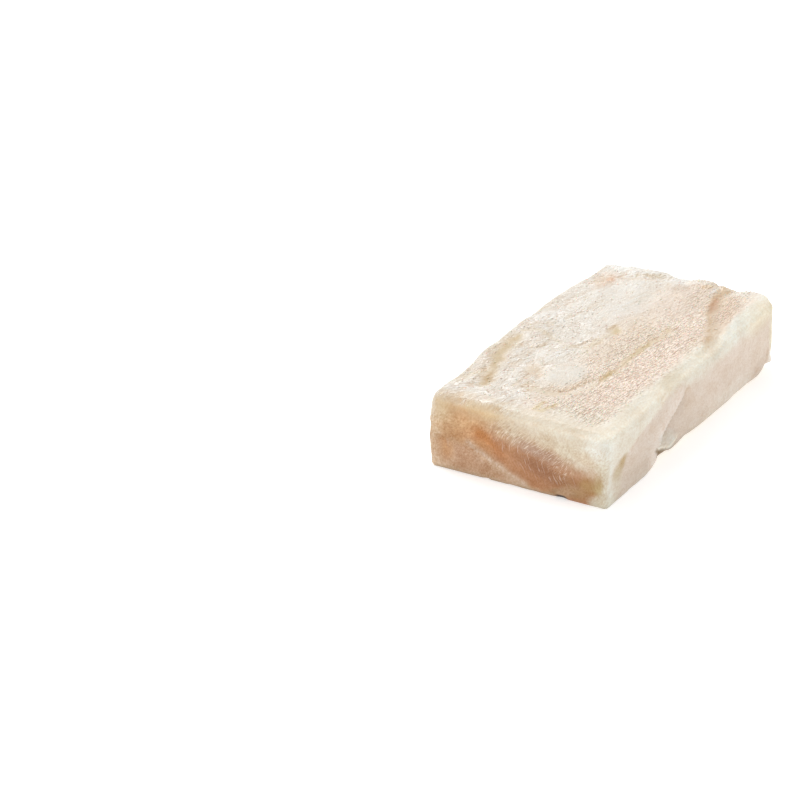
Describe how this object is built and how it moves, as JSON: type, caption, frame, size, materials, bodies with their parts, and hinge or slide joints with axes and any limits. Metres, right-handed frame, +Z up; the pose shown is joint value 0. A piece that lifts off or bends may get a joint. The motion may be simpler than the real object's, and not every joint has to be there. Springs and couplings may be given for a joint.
{
  "type": "frozen alaska pollock portion",
  "caption": "Flat oblong loaf of frozen white fish with sawn walls, softly rounded upper edges and a seamed, lumpy top; lies flat on its base.",
  "frame": {"origin": "centre of the flat base, in the plane it rests on", "axes": "+Z up, +X along the length away from the tan end wall, -Y out of the long wall that carries the flap"},
  "size_m": [0.1078, 0.0576, 0.0242],
  "materials": {
    "fish_flesh": "frozen white fish flesh, satin, with a thin frost and pinkish tan marks"
  },
  "bodies": {
    "root": {"pollock_portion": "fish_flesh"}
  },
  "joints": []
}
